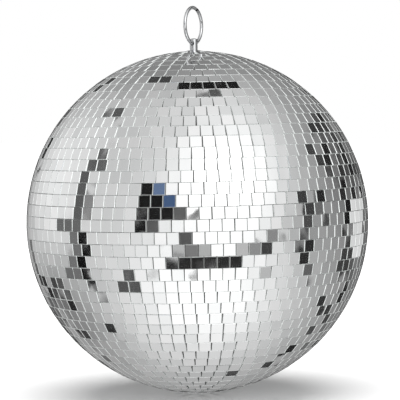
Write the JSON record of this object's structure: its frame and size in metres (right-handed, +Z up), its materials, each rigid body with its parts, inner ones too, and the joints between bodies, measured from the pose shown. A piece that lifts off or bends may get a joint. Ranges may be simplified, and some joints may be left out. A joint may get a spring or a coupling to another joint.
{
  "type": "mirror ball",
  "caption": "Hanging mirror ball: a hollow two-piece ball faced with rows of small flat mirrors, with a clamped post and a wire ring at its top.",
  "frame": {"origin": "the place inside the top of the hanging ring where a hook bears; the ball's centre is 189.6 mm below it", "axes": "+Z up along the post; the ring lies in the YZ plane, and the post's cross hole runs along Y"},
  "size_m": [0.3051, 0.3052, 0.3445],
  "materials": {
    "mirror_tiles": "silvered flat glass, polished, with ground edges",
    "shell_plastic": "moulded, light grey, under a coat of clear glue",
    "ring_chrome": "bright plated wire",
    "post_chrome": "turned and bright plated",
    "collar_steel": "spun and plated",
    "plate_steel": "stamped, zinc plated",
    "fastener_steel": "zinc plated"
  },
  "bodies": {
    "hanger": {"hanging_ring": "ring_chrome"},
    "ball": {"hanger_post": "post_chrome", "top_collar": "collar_steel", "upper_shell": "shell_plastic", "lower_shell": "shell_plastic", "backing_plate": "plate_steel", "spring_washer": "fastener_steel", "hex_nut": "fastener_steel", "bottom_pole_tiles": "mirror_tiles", "mirror_row_01": "mirror_tiles", "mirror_row_02": "mirror_tiles", "mirror_row_03": "mirror_tiles", "mirror_row_04": "mirror_tiles", "mirror_row_05": "mirror_tiles", "mirror_row_06": "mirror_tiles", "mirror_row_07": "mirror_tiles", "mirror_row_08": "mirror_tiles", "mirror_row_09": "mirror_tiles", "mirror_row_10": "mirror_tiles", "mirror_row_11": "mirror_tiles", "mirror_row_12": "mirror_tiles", "mirror_row_13": "mirror_tiles", "mirror_row_14": "mirror_tiles", "mirror_row_15": "mirror_tiles", "mirror_row_16": "mirror_tiles", "mirror_row_17": "mirror_tiles", "mirror_row_18": "mirror_tiles", "mirror_row_19": "mirror_tiles", "mirror_row_20": "mirror_tiles", "mirror_row_21": "mirror_tiles", "mirror_row_22": "mirror_tiles", "mirror_row_23": "mirror_tiles", "mirror_row_24": "mirror_tiles", "mirror_row_25": "mirror_tiles", "mirror_row_26": "mirror_tiles", "mirror_row_27": "mirror_tiles", "mirror_row_28": "mirror_tiles", "mirror_row_29": "mirror_tiles", "mirror_row_30": "mirror_tiles", "mirror_row_31": "mirror_tiles", "mirror_row_32": "mirror_tiles", "mirror_row_33": "mirror_tiles", "mirror_row_34": "mirror_tiles", "mirror_row_35": "mirror_tiles", "mirror_row_36": "mirror_tiles", "mirror_row_37": "mirror_tiles", "mirror_row_38": "mirror_tiles", "mirror_row_39": "mirror_tiles", "mirror_row_40": "mirror_tiles", "mirror_row_41": "mirror_tiles", "mirror_row_42": "mirror_tiles", "mirror_row_43": "mirror_tiles", "mirror_row_44": "mirror_tiles"}
  },
  "joints": [
    {"name": "ring_swing", "type": "hinge", "parent": "hanger", "child": "ball", "pos_m": [0, 0, -0.0303], "axis": [0, 1, 0], "range_deg": [-104, 104]}
  ]
}
